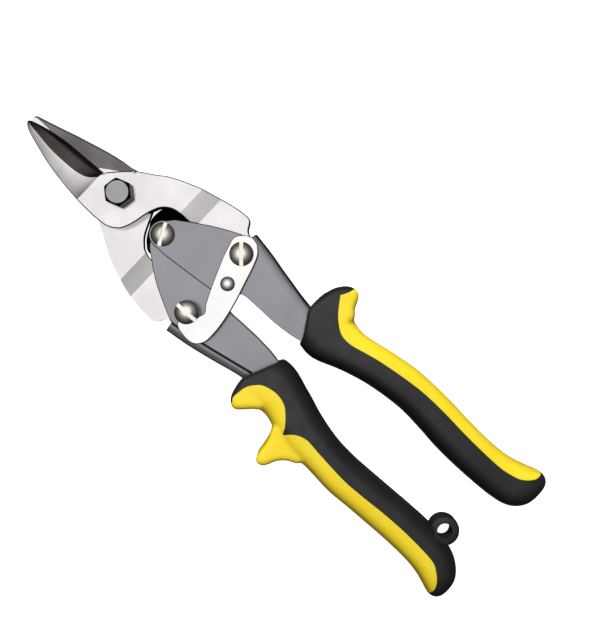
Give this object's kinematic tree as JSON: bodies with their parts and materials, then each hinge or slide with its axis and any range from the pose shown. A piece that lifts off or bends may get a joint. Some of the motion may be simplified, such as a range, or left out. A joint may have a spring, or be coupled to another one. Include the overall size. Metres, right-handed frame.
{
  "type": "aviation snips",
  "caption": "Compound-leverage sheet-metal snips with pressed handle channels, toggle latch, two-tone grips, a finger hook and a hang eye.",
  "frame": {"origin": "centre of the bounding box in plan, at its lowest point, with the tool lying flat on its nut side", "axes": "+X from the grips to the blade tips, +Y towards the handle with the finger hook, +Z towards the bolt head"},
  "size_m": [0.2484, 0.076, 0.0205],
  "materials": {
    "blade_steel": "polished forged steel",
    "frame_plate": "satin plated pressed steel",
    "rivet_chrome": "bright plated rivet",
    "latch_plate_metal": "polished pressed steel",
    "bolt_steel": "darkened bolt steel",
    "bush_steel": "plain turned steel",
    "spring_steel": "oiled spring wire",
    "nylon": "natural nylon",
    "grip_black": "matte moulded grip",
    "grip_yellow": "satin moulded grip"
  },
  "bodies": {
    "left_handle": {"left_handle_frame": "frame_plate", "handle_pivot_rivet": "rivet_chrome", "handle_pivot_bush": "bush_steel", "left_tang_rivet": "rivet_chrome", "left_tang_bush": "bush_steel", "latch_post_collar": "bush_steel", "left_grip": "grip_black", "left_grip_inlay": "grip_yellow", "return_spring": "spring_steel"},
    "right_handle": {"right_handle_frame": "frame_plate", "right_tang_rivet": "rivet_chrome", "right_tang_bush": "bush_steel", "right_tang_spacers": "bush_steel", "latch_spring_washer": "spring_steel", "right_grip": "grip_black", "right_grip_inlay": "grip_yellow"},
    "latch": {"latch_plate": "latch_plate_metal"},
    "back_blade": {"back_blade": "blade_steel", "pivot_bolt": "bolt_steel", "pivot_washer": "bush_steel", "pivot_lock_nut": "bolt_steel", "nut_insert": "nylon"},
    "front_blade": {"front_blade": "blade_steel"}
  },
  "joints": [
    {"name": "handle_open", "type": "hinge", "parent": "left_handle", "child": "right_handle", "pos_m": [0.0532, -0.00163, 0.01027], "axis": [0, 0, 1], "range_deg": [0, 40], "stiffness_Nm_per_rad": 0.4, "springref_deg": 68.75, "deforming": ["return_spring"]},
    {"name": "back_blade_swing", "type": "hinge", "parent": "left_handle", "child": "back_blade", "pos_m": [0.0252, 0.01397, 0.01027], "axis": [0, 0, 1], "range_deg": [0, 10.5]},
    {"name": "front_blade_swing", "type": "hinge", "parent": "back_blade", "child": "front_blade", "pos_m": [0.0768, -0.00163, 0.01027], "axis": [0, 0, 1], "range_deg": [0, 20.5]},
    {"name": "latch_swing", "type": "hinge", "parent": "right_handle", "child": "latch", "pos_m": [0.0252, -0.01723, 0.01027], "axis": [0, 0, 1], "range_deg": [-3.5, 60]}
  ],
  "couplings": [
    {"joint": "back_blade_swing", "follows": "handle_open", "ratio": 0.25},
    {"joint": "front_blade_swing", "follows": "handle_open", "ratio": 0.5}
  ]
}
